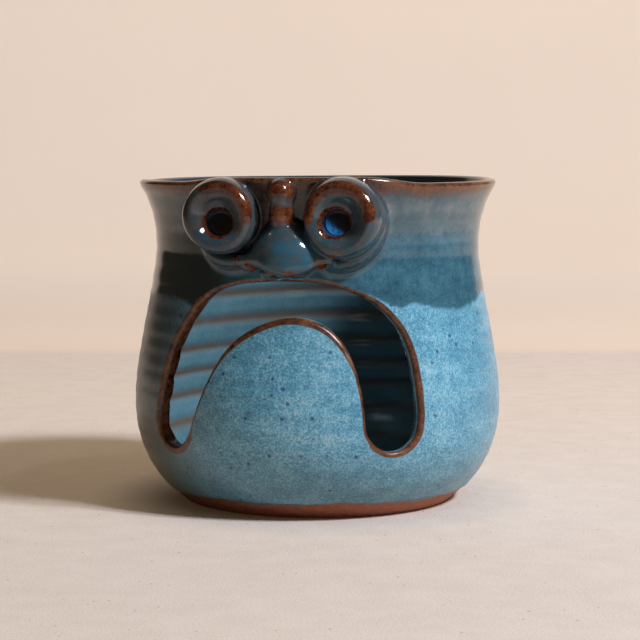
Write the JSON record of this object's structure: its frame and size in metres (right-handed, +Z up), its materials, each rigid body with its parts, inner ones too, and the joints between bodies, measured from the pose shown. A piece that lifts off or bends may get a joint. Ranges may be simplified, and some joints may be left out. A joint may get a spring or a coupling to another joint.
{
  "type": "yarn bowl",
  "caption": "Wheel-thrown glazed stoneware bowl with a modelled grumpy face; its closed frowning slot lets yarn or a hand reach the hollow through the wall.",
  "frame": {"origin": "centre of the foot, on the surface the bowl stands on", "axes": "+Z up along the axis the bowl was thrown on, -Y out of the face, +X to the right as a viewer in front sees it"},
  "size_m": [0.125, 0.1304, 0.1103],
  "materials": {
    "glazed_pot": "mottled light blue glaze breaking to brown at the edges, bare terracotta foot",
    "glazed_face": "glossy grey-blue glaze breaking to iron brown on the high edges",
    "glaze_bead": "pooled clear deep blue glaze, very glossy"
  },
  "bodies": {
    "root": {"pot_body": "glazed_pot", "left_eye": "glazed_face", "right_eye": "glazed_face", "left_pupil_glaze": "glaze_bead", "right_pupil_glaze": "glaze_bead", "left_eye_bag": "glazed_face", "right_eye_bag": "glazed_face", "brow_knob": "glazed_face", "nose": "glazed_face", "left_nostril": "glazed_face", "right_nostril": "glazed_face", "upper_lip": "glazed_face"}
  },
  "joints": []
}
